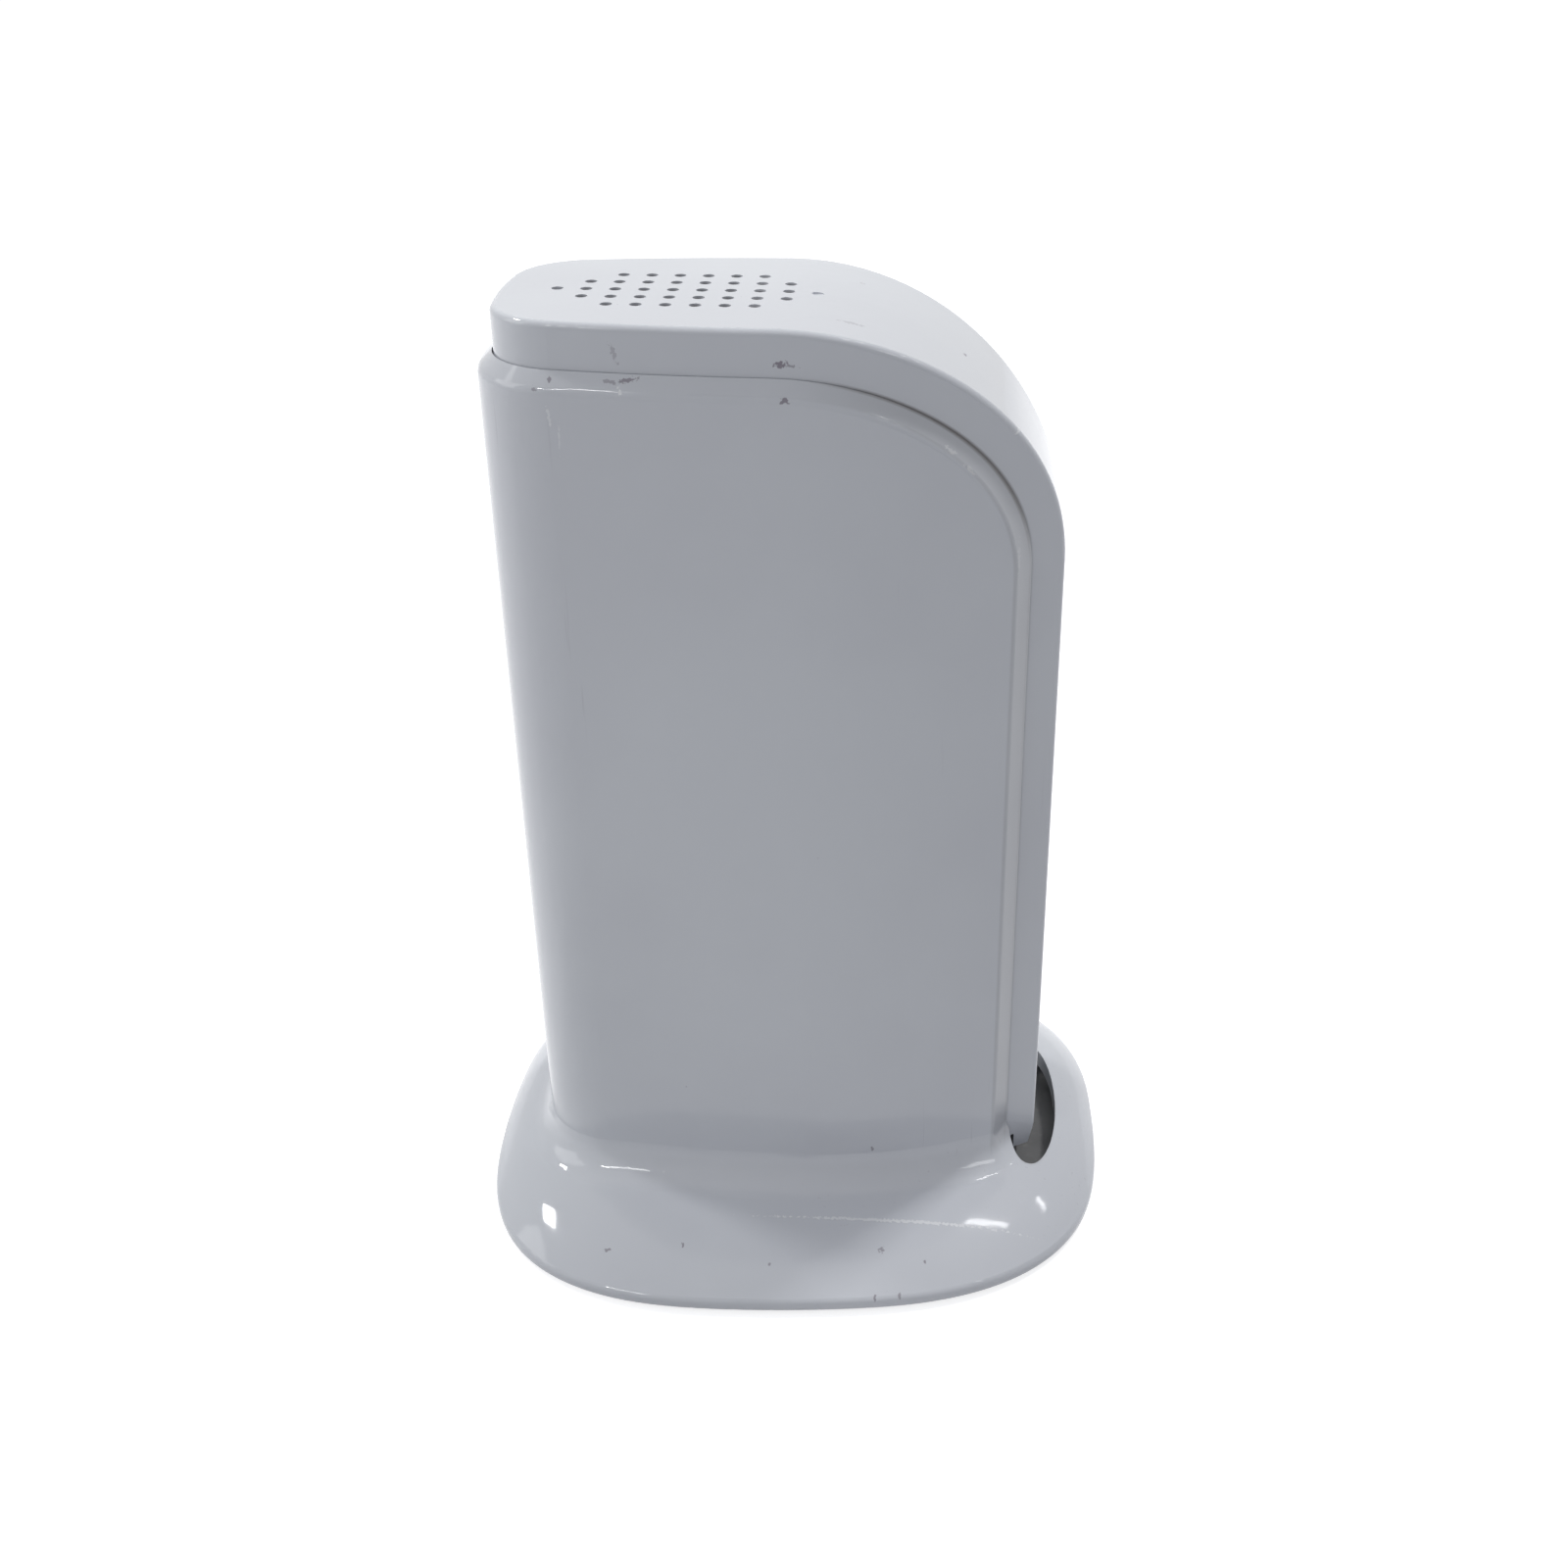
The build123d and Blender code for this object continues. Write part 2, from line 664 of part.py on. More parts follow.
with BuildPart() as heat_sink:
    block(sink_back, (chip_x, chip_z), sink_size, sink_size, sink_base)
    fin_pitch = (sink_size - sink_fin_width) / (sink_fin_count - 1)
    with BuildSketch(sink_face):
        with Locations((chip_x, chip_z)):
            with GridLocations(fin_pitch, 0, sink_fin_count, 1):
                Rectangle(sink_fin_width, sink_size)
    extrude(amount=sink_fin_height)
    discs(sink_back, ear_places, sink_ear_radius, sink_base)
    for x, z in ear_places:
        ear_root = x - math.copysign(sink_ear_out / 2, x - chip_x)
        block(sink_back, (ear_root, z), sink_ear_out, 2 * sink_ear_radius, sink_base)
    discs(sink_back, ear_places, pin_radius + pin_hole_gap, sink_base, Mode.SUBTRACT)
keep(heat_sink, "heat_sink")

with BuildPart() as heat_sink_pins:
    discs(sink_face, ear_places, pin_head_radius, pin_head_height)
    discs(sink_face, ear_places, pin_radius, sink_y - sink_base - board_back_y)
    discs(board_back, ear_places, pin_barb_radius, -pin_barb_length)
keep(heat_sink_pins, "heat_sink_pins")

# Other chips, the crystal and the radio's shield can
for name, place, size in (
    ("memory_chip", memory_place, memory_size),
    ("flash_chip", flash_place, flash_size),
):
    with BuildPart() as chip:
        block(board_face, place, *size)
    keep(chip, name)

with BuildPart() as clock_crystal:
    with BuildSketch(board_face):
        with Locations(crystal_place):
            SlotOverall(crystal_size[0], crystal_size[1])
    extrude(amount=crystal_size[2])
keep(clock_crystal, "clock_crystal")

with BuildPart() as radio_shield:
    block(board_face, shield_place, *shield_size)
    inner_size = [side - 2 * shield_wall for side in shield_size[:2]]
    block(board_face, shield_place, *inner_size, shield_size[2] - shield_wall, Mode.SUBTRACT)
keep(radio_shield, "radio_shield")

# Network jacks, their contacts and transformers
for name, z in jack_zs.items():
    with BuildPart() as jack:
        block(port_face, (board_y - jack_height / 2, z), jack_height, jack_width, -jack_length)
        block(port_face, (plug_y, z), plug_height, plug_width, -plug_depth, Mode.SUBTRACT)
        latch_place = (plug_y - plug_height / 2 - latch_height / 2, z)
        block(port_face, latch_place, latch_height, latch_width, -plug_depth, Mode.SUBTRACT)
    keep(jack, name)

with BuildPart() as jack_contacts:
    contact_y = plug_y + plug_height / 2
    contact_x = port_front_x - contact_start
    tip_x = contact_x - contact_length
    tip_y = contact_y - contact_drop
    for z in jack_zs.values():
        for step in range(contact_count):
            contact_z = z + contact_pitch * (step - (contact_count - 1) / 2) - contact_width / 2
            with BuildSketch(Plane.XY.offset(contact_z)):
                with BuildLine():
                    Polyline(
                        (contact_x, contact_y),
                        (contact_x - 2 * contact_thickness, contact_y),
                        (tip_x, tip_y),
                        (tip_x + contact_thickness, tip_y - contact_thickness),
                        close=True,
                    )
                make_face()
            extrude(amount=contact_width)
keep(jack_contacts, "jack_contacts")

with BuildPart() as line_transformers:
    transformer_x = port_front_x - jack_length - transformer_space - transformer_size / 2
    for z in jack_zs.values():
        block(board_face, (transformer_x, z), transformer_size, transformer_length, transformer_height)
keep(line_transformers, "line_transformers")

# Power inlet with its centre pin, and the parts that filter the supply
with BuildPart() as dc_jack:
    block(port_face, (board_y - dc_height / 2, dc_z), dc_height, dc_width, -dc_length)
    discs(port_face, [(dc_y, dc_z)], dc_bore_radius, -dc_bore_depth, Mode.SUBTRACT)
keep(dc_jack, "dc_jack")

with BuildPart() as dc_pin:
    discs(port_face.offset(-dc_bore_depth), [(dc_y, dc_z)], dc_pin_radius, dc_pin_length)
keep(dc_pin, "dc_pin")

with BuildPart() as filter_capacitors:
    capacitor_places = [(capacitor_x, z) for z in capacitor_zs]
    discs(board_face, capacitor_places, capacitor_radius, capacitor_height)
    chamfer(edges().sort_by(Axis.Y)[: len(capacitor_zs)], capacitor_groove)
keep(filter_capacitors, "filter_capacitors")

with BuildPart() as power_inductors:
    with BuildSketch(board_face):
        with Locations(*[(inductor_x, z) for z in inductor_zs]):
            RectangleRounded(inductor_size, inductor_size, inductor_corner)
    extrude(amount=inductor_height)
keep(power_inductors, "power_inductors")

# Power switch, its plunger and the button pressed onto it
power_axis = (power_y, power_z)
power_plunger_x = power_switch_x - power_plunger_seat
power_button_x = power_switch_x + power_travel + 2 * button_gap

with BuildPart() as power_switch:
    power_switch_place = (power_switch_x - power_switch_length / 2, power_z)
    block(board_face, power_switch_place, power_switch_length, power_switch_size, power_switch_size)
    bore_size = power_plunger_size + 2 * button_gap
    bore_depth = power_plunger_seat + power_travel + button_gap
    switch_front = Plane.YZ.offset(power_switch_x)
    block(switch_front, power_axis, bore_size, bore_size, -bore_depth, Mode.SUBTRACT)
keep(power_switch, "power_switch")

with BuildPart() as power_plunger:
    plunger_length = power_button_x + power_plunger_grip - power_plunger_x
    plunger_plane = Plane.YZ.offset(power_plunger_x)
    block(plunger_plane, power_axis, power_plunger_size, power_plunger_size, plunger_length)
keep(power_plunger, "power_plunger")

with BuildPart() as power_button:
    button_plane = Plane.YZ.offset(power_button_x)
    button_length = rear_x + power_button_stand - power_button_x
    discs(button_plane, [power_axis], power_button_radius, button_length)
    chamfer(edges().sort_by(Axis.X)[-1], button_edge)
    power_flange = power_button_radius + button_flange
    discs(flange_plane, [power_axis], power_flange, -button_flange_thickness)
    socket_size = power_plunger_size + 2 * screw_fit
    block(button_plane, power_axis, socket_size, socket_size, power_plunger_grip, Mode.SUBTRACT)
keep(power_button, "power_button")

# Two small push switches: one behind the pairing button, one behind the reset pinhole
tact_bore_depth = tact_plunger_seat + tact_travel + button_gap
for name, z in (("pairing_switch", pairing_z), ("reset_switch", reset_z)):
    with BuildPart() as tact_switch:
        block(board_face, (tact_x - tact_length / 2, z), tact_length, tact_size, tact_height)
        tact_bore = tact_plunger_radius + button_gap
        discs(Plane.YZ.offset(tact_x), [(tact_y, z)], tact_bore, -tact_bore_depth, Mode.SUBTRACT)
    keep(tact_switch, name)

tact_plunger_plane = Plane.YZ.offset(tact_x - tact_plunger_seat)
with BuildPart() as pairing_plunger:
    pairing_plunger_length = tact_plunger_seat + tact_plunger_stand
    discs(tact_plunger_plane, [(tact_y, pairing_z)], tact_plunger_radius, pairing_plunger_length)
keep(pairing_plunger, "pairing_plunger")

with BuildPart() as pairing_button:
    pairing_x = tact_x + tact_plunger_stand
    pairing_axis = (tact_y, pairing_z)
    pairing_length = rear_x + pairing_button_stand - pairing_x
    discs(Plane.YZ.offset(pairing_x), [pairing_axis], pairing_button_radius, pairing_length)
    chamfer(edges().sort_by(Axis.X)[-1], button_edge)
    pairing_flange = pairing_button_radius + button_flange
    discs(flange_plane, [pairing_axis], pairing_flange, -button_flange_thickness)
keep(pairing_button, "pairing_button")

with BuildPart() as reset_plunger:
    reset_length = inner_rear_x - reset_plunger_gap - tact_x + tact_plunger_seat
    discs(tact_plunger_plane, [(tact_y, reset_z)], tact_plunger_radius, reset_length)
keep(reset_plunger, "reset_plunger")

# Antenna board under the top, and the two leads that come up to it from the main board
with BuildPart() as antenna_board:
    antenna_place = (antenna_front_x + antenna_length / 2, 0)
    antenna_plane = Plane.XY.offset(antenna_z)
    antenna_width = 2 * antenna_half_width
    block(antenna_plane, antenna_place, antenna_length, antenna_width, antenna_thickness)
    antenna_hole = screw_radius + screw_hole_gap
    discs(antenna_plane, antenna_boss_places, antenna_hole, antenna_thickness, Mode.SUBTRACT)
keep(antenna_board, "antenna_board")

with BuildPart() as antenna_screws:
    screw_set(antenna_screw_face, antenna_boss_places, antenna_thickness + antenna_screw_bite - screw_fit)
keep(antenna_screws, "antenna_screws")

with BuildPart() as antenna_sockets:
    discs(board_face, [(x, socket_z) for x in socket_xs], socket_radius, socket_height)
keep(antenna_sockets, "antenna_sockets")

with BuildPart() as antenna_leads:
    lead_y = board_y - socket_height
    for x in socket_xs:
        with BuildLine() as route:
            FilletPolyline(
                (x, lead_y, socket_z),
                (x, lead_y - lead_bow, socket_z),
                (x, lead_y - lead_bow, antenna_z),
                radius=lead_bend,
            )
        with BuildSketch(Plane((x, lead_y, socket_z), z_dir=(0, -1, 0))):
            Circle(lead_radius)
        sweep(path=route.line)
keep(antenna_leads, "antenna_leads")
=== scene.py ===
import math

import bpy
from mathutils import Matrix, Quaternion, Vector


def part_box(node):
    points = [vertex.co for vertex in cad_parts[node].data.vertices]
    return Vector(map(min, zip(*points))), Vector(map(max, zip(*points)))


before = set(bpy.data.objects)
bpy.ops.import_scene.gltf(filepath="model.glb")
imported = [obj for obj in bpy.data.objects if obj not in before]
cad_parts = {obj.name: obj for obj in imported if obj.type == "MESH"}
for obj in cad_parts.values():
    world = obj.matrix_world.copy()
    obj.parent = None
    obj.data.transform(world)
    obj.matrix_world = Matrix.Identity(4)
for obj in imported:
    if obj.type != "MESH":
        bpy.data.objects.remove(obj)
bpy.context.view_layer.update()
print("frame loaded:", len(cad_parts), "nodes")

bpy.context.scene.view_settings.view_transform = "Standard"

# Camera, solved from the photograph
photoView = {
    "place": (0.0273, -0.3202, 0.2644),
    "azimuth": 1.60,  # degrees
    "pitch": 28.96,
    "roll": 0.37,
    "framePixels": 1600,
    "focalPixels": 1900,
    "axisPixel": 905,  # where the lens looks, across the frame
    "sensor": 36.0,
    "clipStart": 0.01,
}


def setCamera(view):
    turn, dip, roll = (math.radians(view[key]) for key in ("azimuth", "pitch", "roll"))
    look = Vector((-math.sin(turn) * math.cos(dip), math.cos(turn) * math.cos(dip), -math.sin(dip)))
    level = Vector((math.cos(turn), math.sin(turn), 0))
    rise = level.cross(look)
    right = math.cos(roll) * level + math.sin(roll) * rise
    up = math.cos(roll) * rise - math.sin(roll) * level
    lens = bpy.data.cameras.new("photoCamera")
    lens.sensor_width = view["sensor"]
    lens.lens = view["sensor"] * view["focalPixels"] / view["framePixels"]
    lens.shift_x = (view["framePixels"] / 2 - view["axisPixel"]) / view["framePixels"]
    lens.clip_start = view["clipStart"]
    camera = bpy.data.objects.new("photoCamera", lens)
    bpy.context.scene.collection.objects.link(camera)
    turned = Matrix((right, up, -look)).transposed().to_4x4()
    camera.matrix_world = Matrix.Translation(view["place"]) @ turned
    bpy.context.scene.camera = camera


setCamera(photoView)
print("camera set")


# Helpers for node trees: a socket is linked, anything else is set on the input
def feed(tree, node, inputs):
    for key, value in inputs.items():
        if isinstance(value, bpy.types.NodeSocket):
            tree.links.new(value, node.inputs[key])
        else:
            node.inputs[key].default_value = value


def addNode(tree, kind, inputs, **settings):
    node = tree.nodes.new(kind)
    for key, value in settings.items():
        setattr(node, key, value)
    feed(tree, node, inputs)
    return node


def calc(tree, operation, *values):
    return addNode(tree, "ShaderNodeMath", dict(enumerate(values)), operation=operation).outputs[0]


def vectorCalc(tree, operation, *values):
    node = addNode(tree, "ShaderNodeVectorMath", dict(enumerate(values)), operation=operation)
    return node.outputs["Value" if operation == "LENGTH" else "Vector"]


def ease(tree, value, low, high, start=0.0, end=1.0):
    # Runs softly from start to end while value goes from low to high
    inputs = {"Value": value, "From Min": low, "From Max": high, "To Min": start, "To Max": end}
    return addNode(tree, "ShaderNodeMapRange", inputs, interpolation_type="SMOOTHSTEP").outputs["Result"]


def noise(tree, vector, scale, detail=2.0):
    inputs = {"Vector": vector, "Scale": scale, "Detail": detail}
    return addNode(tree, "ShaderNodeTexNoise", inputs).outputs[0]


noiseMiddle = (0.3, 0.7)


def clouds(tree, vector, scale, start=0.0, end=1.0, detail=3.0):
    # Noise whose middle range runs from start to end
    return ease(tree, noise(tree, vector, scale, detail), *noiseMiddle, start, end)


def stretch(tree, vector, scale, turn=(0, 0, 0)):
    inputs = {"Vector": vector, "Scale": scale, "Rotation": turn}
    return addNode(tree, "ShaderNodeMapping", inputs).outputs[0]


def tint(tree, amount, first, second):
    return addNode(tree, "ShaderNodeMix", {0: amount, 6: first, 7: second}, data_type="RGBA").outputs[2]


def split(tree, vector):
    return addNode(tree, "ShaderNodeSeparateXYZ", {"Vector": vector}).outputs


def bumps(tree, height, depth):
    return addNode(tree, "ShaderNodeBump", {"Height": height, "Strength": 1.0, "Distance": depth}).outputs[0]


# Studio: a pale floor and a dim surround that look white, lamps round the object and a tube overhead
studio = {
    "floorSize": 6.0,
    "floorColour": (0.60, 0.60, 0.61, 1),
    "nearLift": 0.74,  # whitens the floor where it is seen or mirrored, more with distance
    "farLift": 0.9,
    "liftFrom": 0.15,
    "liftTo": 1.6,
    "surround": (0.246, 0.257, 0.279, 1),
    "white": (1, 1, 1, 1),
}
lamps = {
    "rightLamp": {
        "place": (0.575, 0.482, 1.30), "size": (0.16, 0.16), "watts": 6.6, "aim": (0, 0, 0.05),
        "mirrored": False,  # lights the object without a mirror image in it
    },
    "rightFront": {"place": (0.81, -0.63, 1.10), "size": (0.24, 0.24), "watts": 0.7, "aim": (0, 0, 0.05)},
    "rightStrip": {
        "place": (0.82, 0.44, 1.17), "size": (0.22, 0.02), "watts": 0.3, "aim": (0, 0, 0.05),
        "turn": 37,  # degrees
    },
    "leftLamp": {"place": (-0.80, 0.33, 1.05), "size": (0.13, 0.12), "watts": 3.2, "aim": (0, 0, 0.05)},
    "leftPanel": {"place": (-1.15, -0.10, 0.75), "size": (0.7, 0.7), "watts": 2.6, "aim": (0, 0, 0.09)},
    "frontLamp": {"place": (-0.66, -0.87, 1.15), "size": (0.32, 0.09), "watts": 1.2, "aim": (0, 0, 0.09)},
    "cornerLamp": {"place": (-0.76, -0.77, 1.15), "size": (0.09, 0.09), "watts": 0.4, "aim": (0, 0, 0.09)},
    "tubeLamp": {
        "place": (0.45, 0.405, 1.5), "size": (0.42, 0.04), "watts": 0.9, "aim": (0.45, 0.405, 0),
        "turn": -21,
    },
}


def whiteForSight(tree):
    # 1 for what is seen directly, mirrored or through glass
    path = tree.nodes.new("ShaderNodeLightPath").outputs
    seen = calc(tree, "MAXIMUM", path["Is Camera Ray"], path["Is Glossy Ray"])
    return calc(tree, "MAXIMUM", seen, path["Is Transmission Ray"])


def buildFloor(look):
    bpy.ops.mesh.primitive_plane_add(size=look["floorSize"])
    floor = bpy.context.active_object
    floor.name = "studioFloor"
    material = bpy.data.materials.new("studioFloor")
    material.use_nodes = True
    tree = material.node_tree
    tree.nodes.clear()
    plain = addNode(tree, "ShaderNodeBsdfDiffuse", {"Color": look["floorColour"]}).outputs[0]
    away = vectorCalc(tree, "LENGTH", tree.nodes.new("ShaderNodeTexCoord").outputs["Object"])
    lift = ease(tree, away, look["liftFrom"], look["liftTo"], look["nearLift"], look["farLift"])
    strength = calc(tree, "MULTIPLY", lift, whiteForSight(tree))
    glow = addNode(tree, "ShaderNodeEmission", {"Strength": strength}).outputs[0]
    both = addNode(tree, "ShaderNodeAddShader", {0: plain, 1: glow}).outputs[0]
    addNode(tree, "ShaderNodeOutputMaterial", {"Surface": both})
    floor.data.materials.append(material)


def buildWorld(look):
    world = bpy.data.worlds.new("studioWorld")
    bpy.context.scene.world = world
    world.use_nodes = True
    tree = world.node_tree
    tree.nodes.clear()
    dim = addNode(tree, "ShaderNodeBackground", {"Color": look["surround"]}).outputs[0]
    white = addNode(tree, "ShaderNodeBackground", {"Color": look["white"]}).outputs[0]
    mixed = addNode(tree, "ShaderNodeMixShader", {0: whiteForSight(tree), 1: dim, 2: white}).outputs[0]
    addNode(tree, "ShaderNodeOutputWorld", {"Surface": mixed})


def addLamp(name, lamp):
    light = bpy.data.lights.new(name, "AREA")
    light.shape = "RECTANGLE"
    light.size, light.size_y = lamp["size"]
    light.energy = lamp["watts"]
    holder = bpy.data.objects.new(name, light)
    bpy.context.scene.collection.objects.link(holder)
    holder.location = lamp["place"]
    facing = (Vector(lamp["aim"]) - Vector(lamp["place"])).to_track_quat("-Z", "Y")
    spin = Quaternion((0, 0, 1), math.radians(lamp.get("turn", 0)))
    holder.rotation_euler = (facing @ spin).to_euler()
    holder.visible_glossy = lamp.get("mirrored", True)


buildFloor(studio)
buildWorld(studio)
for lampName, lamp in lamps.items():
    addLamp(lampName, lamp)
print("studio built")


def startFinish(name):
    material = bpy.data.materials.new(name)
    material.use_nodes = True
    tree = material.node_tree
    coords = tree.nodes.new("ShaderNodeTexCoord").outputs["Object"]
    return material, tree, tree.nodes["Principled BSDF"], coords


def coat(nodes, material):
    for node in nodes:
        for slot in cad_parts[node].material_slots:
            slot.material = material


# Glossy white mouldings: slow unevenness, orange peel, hairlines, specks, seam dust with painted shade,
# painted shade in the well, vents and bevel strip, and single marks with one painted highlight
glossWhite = {
    "colour": (0.745, 0.765, 0.80, 1),
    "shade": (0.70, 0.715, 0.755, 1),
    "shadeScale": 13.0,
    "shadeBand": (0.35, 0.65),
    # also the colour of the painted shade in the seam groove, well, vent holes and bevel strip
    "dust": (0.20, 0.185, 0.18, 1),
    "darkMark": (0.20, 0.165, 0.21, 1),
    "paleMark": (0.97, 0.975, 0.98, 1),
    "hairGrain": (1100, 1100, 40),
    "hairBand": (0.68, 0.76),
    "hairStrength": 0.12,
    "hairDull": 0.12,
    "patchScale": 24.0,  # hairlines come in patches
    "patchBand": (0.52, 0.66),
    "speckCells": 150.0,
    "speckFrom": 0.94,  # a cell holds a speck when its random value is above this
    "speckRadius": 0.035,
    "speckStrength": 0.6,
    "gloss": 0.055,
    "glossScale": 60.0,
    "glossDrift": 0.03,
    "wornDull": 0.4,
    "wornDepth": 2.0,  # in heights of the orange peel
    "peelScale": 380.0,
    "peelDepth": 0.000010,
    "ior": 1.5,
}
# The curve where the cover meets the shell, in the side view; a run is from, to, and the dust and painted
# shade at both
seam = {
    "shoulderX": -0.0006,
    "shoulderZ": 0.1395,
    "backX": 0.0437,
    "topZ": 0.1757,
    "dustAndShadeWidth": 0.016,
    "backRun": (0.1, 0.7, 0.0, 0.3),
    "shoulderRun": (0.05, 0.4, 0.0, 0.6),
    "bevelEdge": (0.926, 0.938),  # where the strip of the shell beside the seam begins, painted darker as shade
    "bevelRun": (0.0, 0.6, 0.05, 0.22),
    "footZ": 0.012,
    "footFade": 0.003,
}
# Painted shade inside an oval part of a moulding, below a height: darkens the rear well, and the vent holes
ovalRim = (1.04, 0.99)
wellShade = {
    "place": (0.04885, 0, 0), "half": (0.00635, 0.0210, 1),
    "topZ": 0.0125, "fade": 0.002, "strength": 0.10,
}
ventShade = {
    "place": (-0.0175, 0, 0.18), "half": (0.0210, 0.0185, 1),
    "topZ": 0.18325, "fade": 0.0003, "strength": 0.8,
}
# Single marks seen in the photograph: place, half size, tilt in the side view, strength (metres and degrees)
markEdge = {"grain": 1800.0, "ragged": 0.5, "fade": (0.55, 1.0)}
darkMarks = {
    "coverBandMark": ((0.0014, -0.025, 0.1780), (0.0011, 0.002, 0.0006), 12, 0.85),
    "coverBandTail": ((0.0030, -0.025, 0.1777), (0.0012, 0.002, 0.0003), -8, 0.6),
    "shoulderMark": ((0.0021, -0.0277, 0.1727), (0.0008, 0.002, 0.0005), 0, 0.8),
    "shoulderSmear": ((-0.0238, -0.0249, 0.1749), (0.0019, 0.002, 0.00036), 10, 0.75),
    "shoulderSmearEnd": ((-0.0264, -0.0249, 0.1746), (0.0014, 0.002, 0.00028), -5, 0.5),
    "coverScuff": ((-0.0258, -0.0234, 0.1789), (0.0005, 0.002, 0.0018), 22, 0.34),
    "noseDot": ((-0.0367, -0.0238, 0.1745), (0.0004, 0.002, 0.0004), 0, 0.7),
    "noseDotLow": ((-0.0392, -0.0241, 0.1731), (0.0004, 0.002, 0.0005), 0, 0.55),
    "baseHook": ((-0.0348, -0.0455, 0.0062), (0.0006, 0.0005, 0.002), 0, 0.7),
    "baseSpeckLeft": ((-0.0200, -0.0447, 0.0073), (0.0003, 0.0006, 0.002), 0, 0.7),
    "baseSpeckMiddle": ((-0.0027, -0.0483, 0.0062), (0.0003, 0.0003, 0.002), 0, 0.6),
    "baseFlake": ((0.0192, -0.0444, 0.0071), (0.0007, 0.0006, 0.002), 0, 0.6),
    "baseSpeckRight": ((0.0277, -0.0463, 0.0059), (0.0003, 0.0004, 0.002), 0, 0.7),
    "bodySpeck": ((0.0166, -0.0269, 0.0178), (0.0003, 0.002, 0.0005), 0, 0.7),
    "rimSpeck": ((0.0182, -0.0537, 0.0032), (0.0003, 0.0006, 0.0010), 0, 0.7),
    "rimSpeckRight": ((0.0229, -0.0528, 0.0033), (0.0003, 0.0006, 0.0010), 0, 0.6),
    "crownSmear": ((0.0126, -0.0144, 0.1820), (0.0026, 0.0007, 0.002), 0, 0.28),
    "crownDotFar": ((0.0131, 0.0128, 0.1819), (0.0004, 0.0006, 0.002), 0, 0.5),
    "crownDotRear": ((0.0315, -0.0022, 0.1735), (0.0003, 0.0006, 0.002), 0, 0.8),
}
paleMarks = {
    "shoulderNick": ((-0.0248, -0.0262, 0.1735), (0.0004, 0.002, 0.0006), 20, 0.9),
    "noseScratch": ((-0.0370, -0.0249, 0.1687), (0.0003, 0.002, 0.0018), 8, 0.5),
    "noseScratchLong": ((-0.0355, -0.0249, 0.1650), (0.0002, 0.002, 0.0030), -4, 0.35),
    "crownFleck": ((0.0407, -0.0165, 0.1647), (0.0010, 0.002, 0.0004), 15, 0.8),
    "rollScratch": ((0.0292, -0.0240, 0.1636), (0.0016, 0.002, 0.0003), -40, 0.6),
    "rollScratchLow": ((0.0325, -0.0231, 0.1600), (0.0014, 0.002, 0.0003), -48, 0.6),
    # painted highlight: a thin bright line on the base front, where a crease is not modelled
    "baseCreaseHighlight": ((0.0225, -0.0379, 0.0083), (0.0280, 0.0004, 0.004), 0, 0.6),
    "rearScuff": ((0.0415, -0.0197, 0.1430), (0.0003, 0.002, 0.0040), 0, 0.3),
}


def markGroup(edge):
    # Mask of one mark, ragged at its rim: worn marks, and the painted highlight on the base
    group = bpy.data.node_groups.new("markShape", "ShaderNodeTree")
    kinds = {"Vector": "Vector", "Place": "Vector", "Half": "Vector", "Tilt": "Float", "Strength": "Float"}
    for label, kind in kinds.items():
        group.interface.new_socket(label, in_out="INPUT", socket_type=f"NodeSocket{kind}")
    group.interface.new_socket("Mask", in_out="OUTPUT", socket_type="NodeSocketFloat")
    ask = group.nodes.new("NodeGroupInput").outputs
    local = vectorCalc(group, "SUBTRACT", ask["Vector"], ask["Place"])
    inputs = {"Vector": local, "Angle": ask["Tilt"]}
    turned = addNode(group, "ShaderNodeVectorRotate", inputs, rotation_type="Y_AXIS").outputs[0]
    reach = vectorCalc(group, "LENGTH", vectorCalc(group, "DIVIDE", turned, ask["Half"]))
    wobble = clouds(group, ask["Vector"], edge["grain"], -edge["ragged"], edge["ragged"])
    inside = ease(group, calc(group, "ADD", reach, wobble), *edge["fade"], 1.0, 0.0)
    addNode(group, "NodeGroupOutput", {"Mask": calc(group, "MULTIPLY", inside, ask["Strength"])})
    return group


def gatherMarks(tree, coords, group, marks):
    total = None
    for place, half, tilt, strength in marks.values():
        inputs = {"Vector": coords, "Place": place, "Half": half}
        inputs.update({"Tilt": math.radians(tilt), "Strength": strength})
        mask = addNode(tree, "ShaderNodeGroup", inputs, node_tree=group).outputs["Mask"]
        total = mask if total is None else calc(tree, "MAXIMUM", total, mask)
    return total


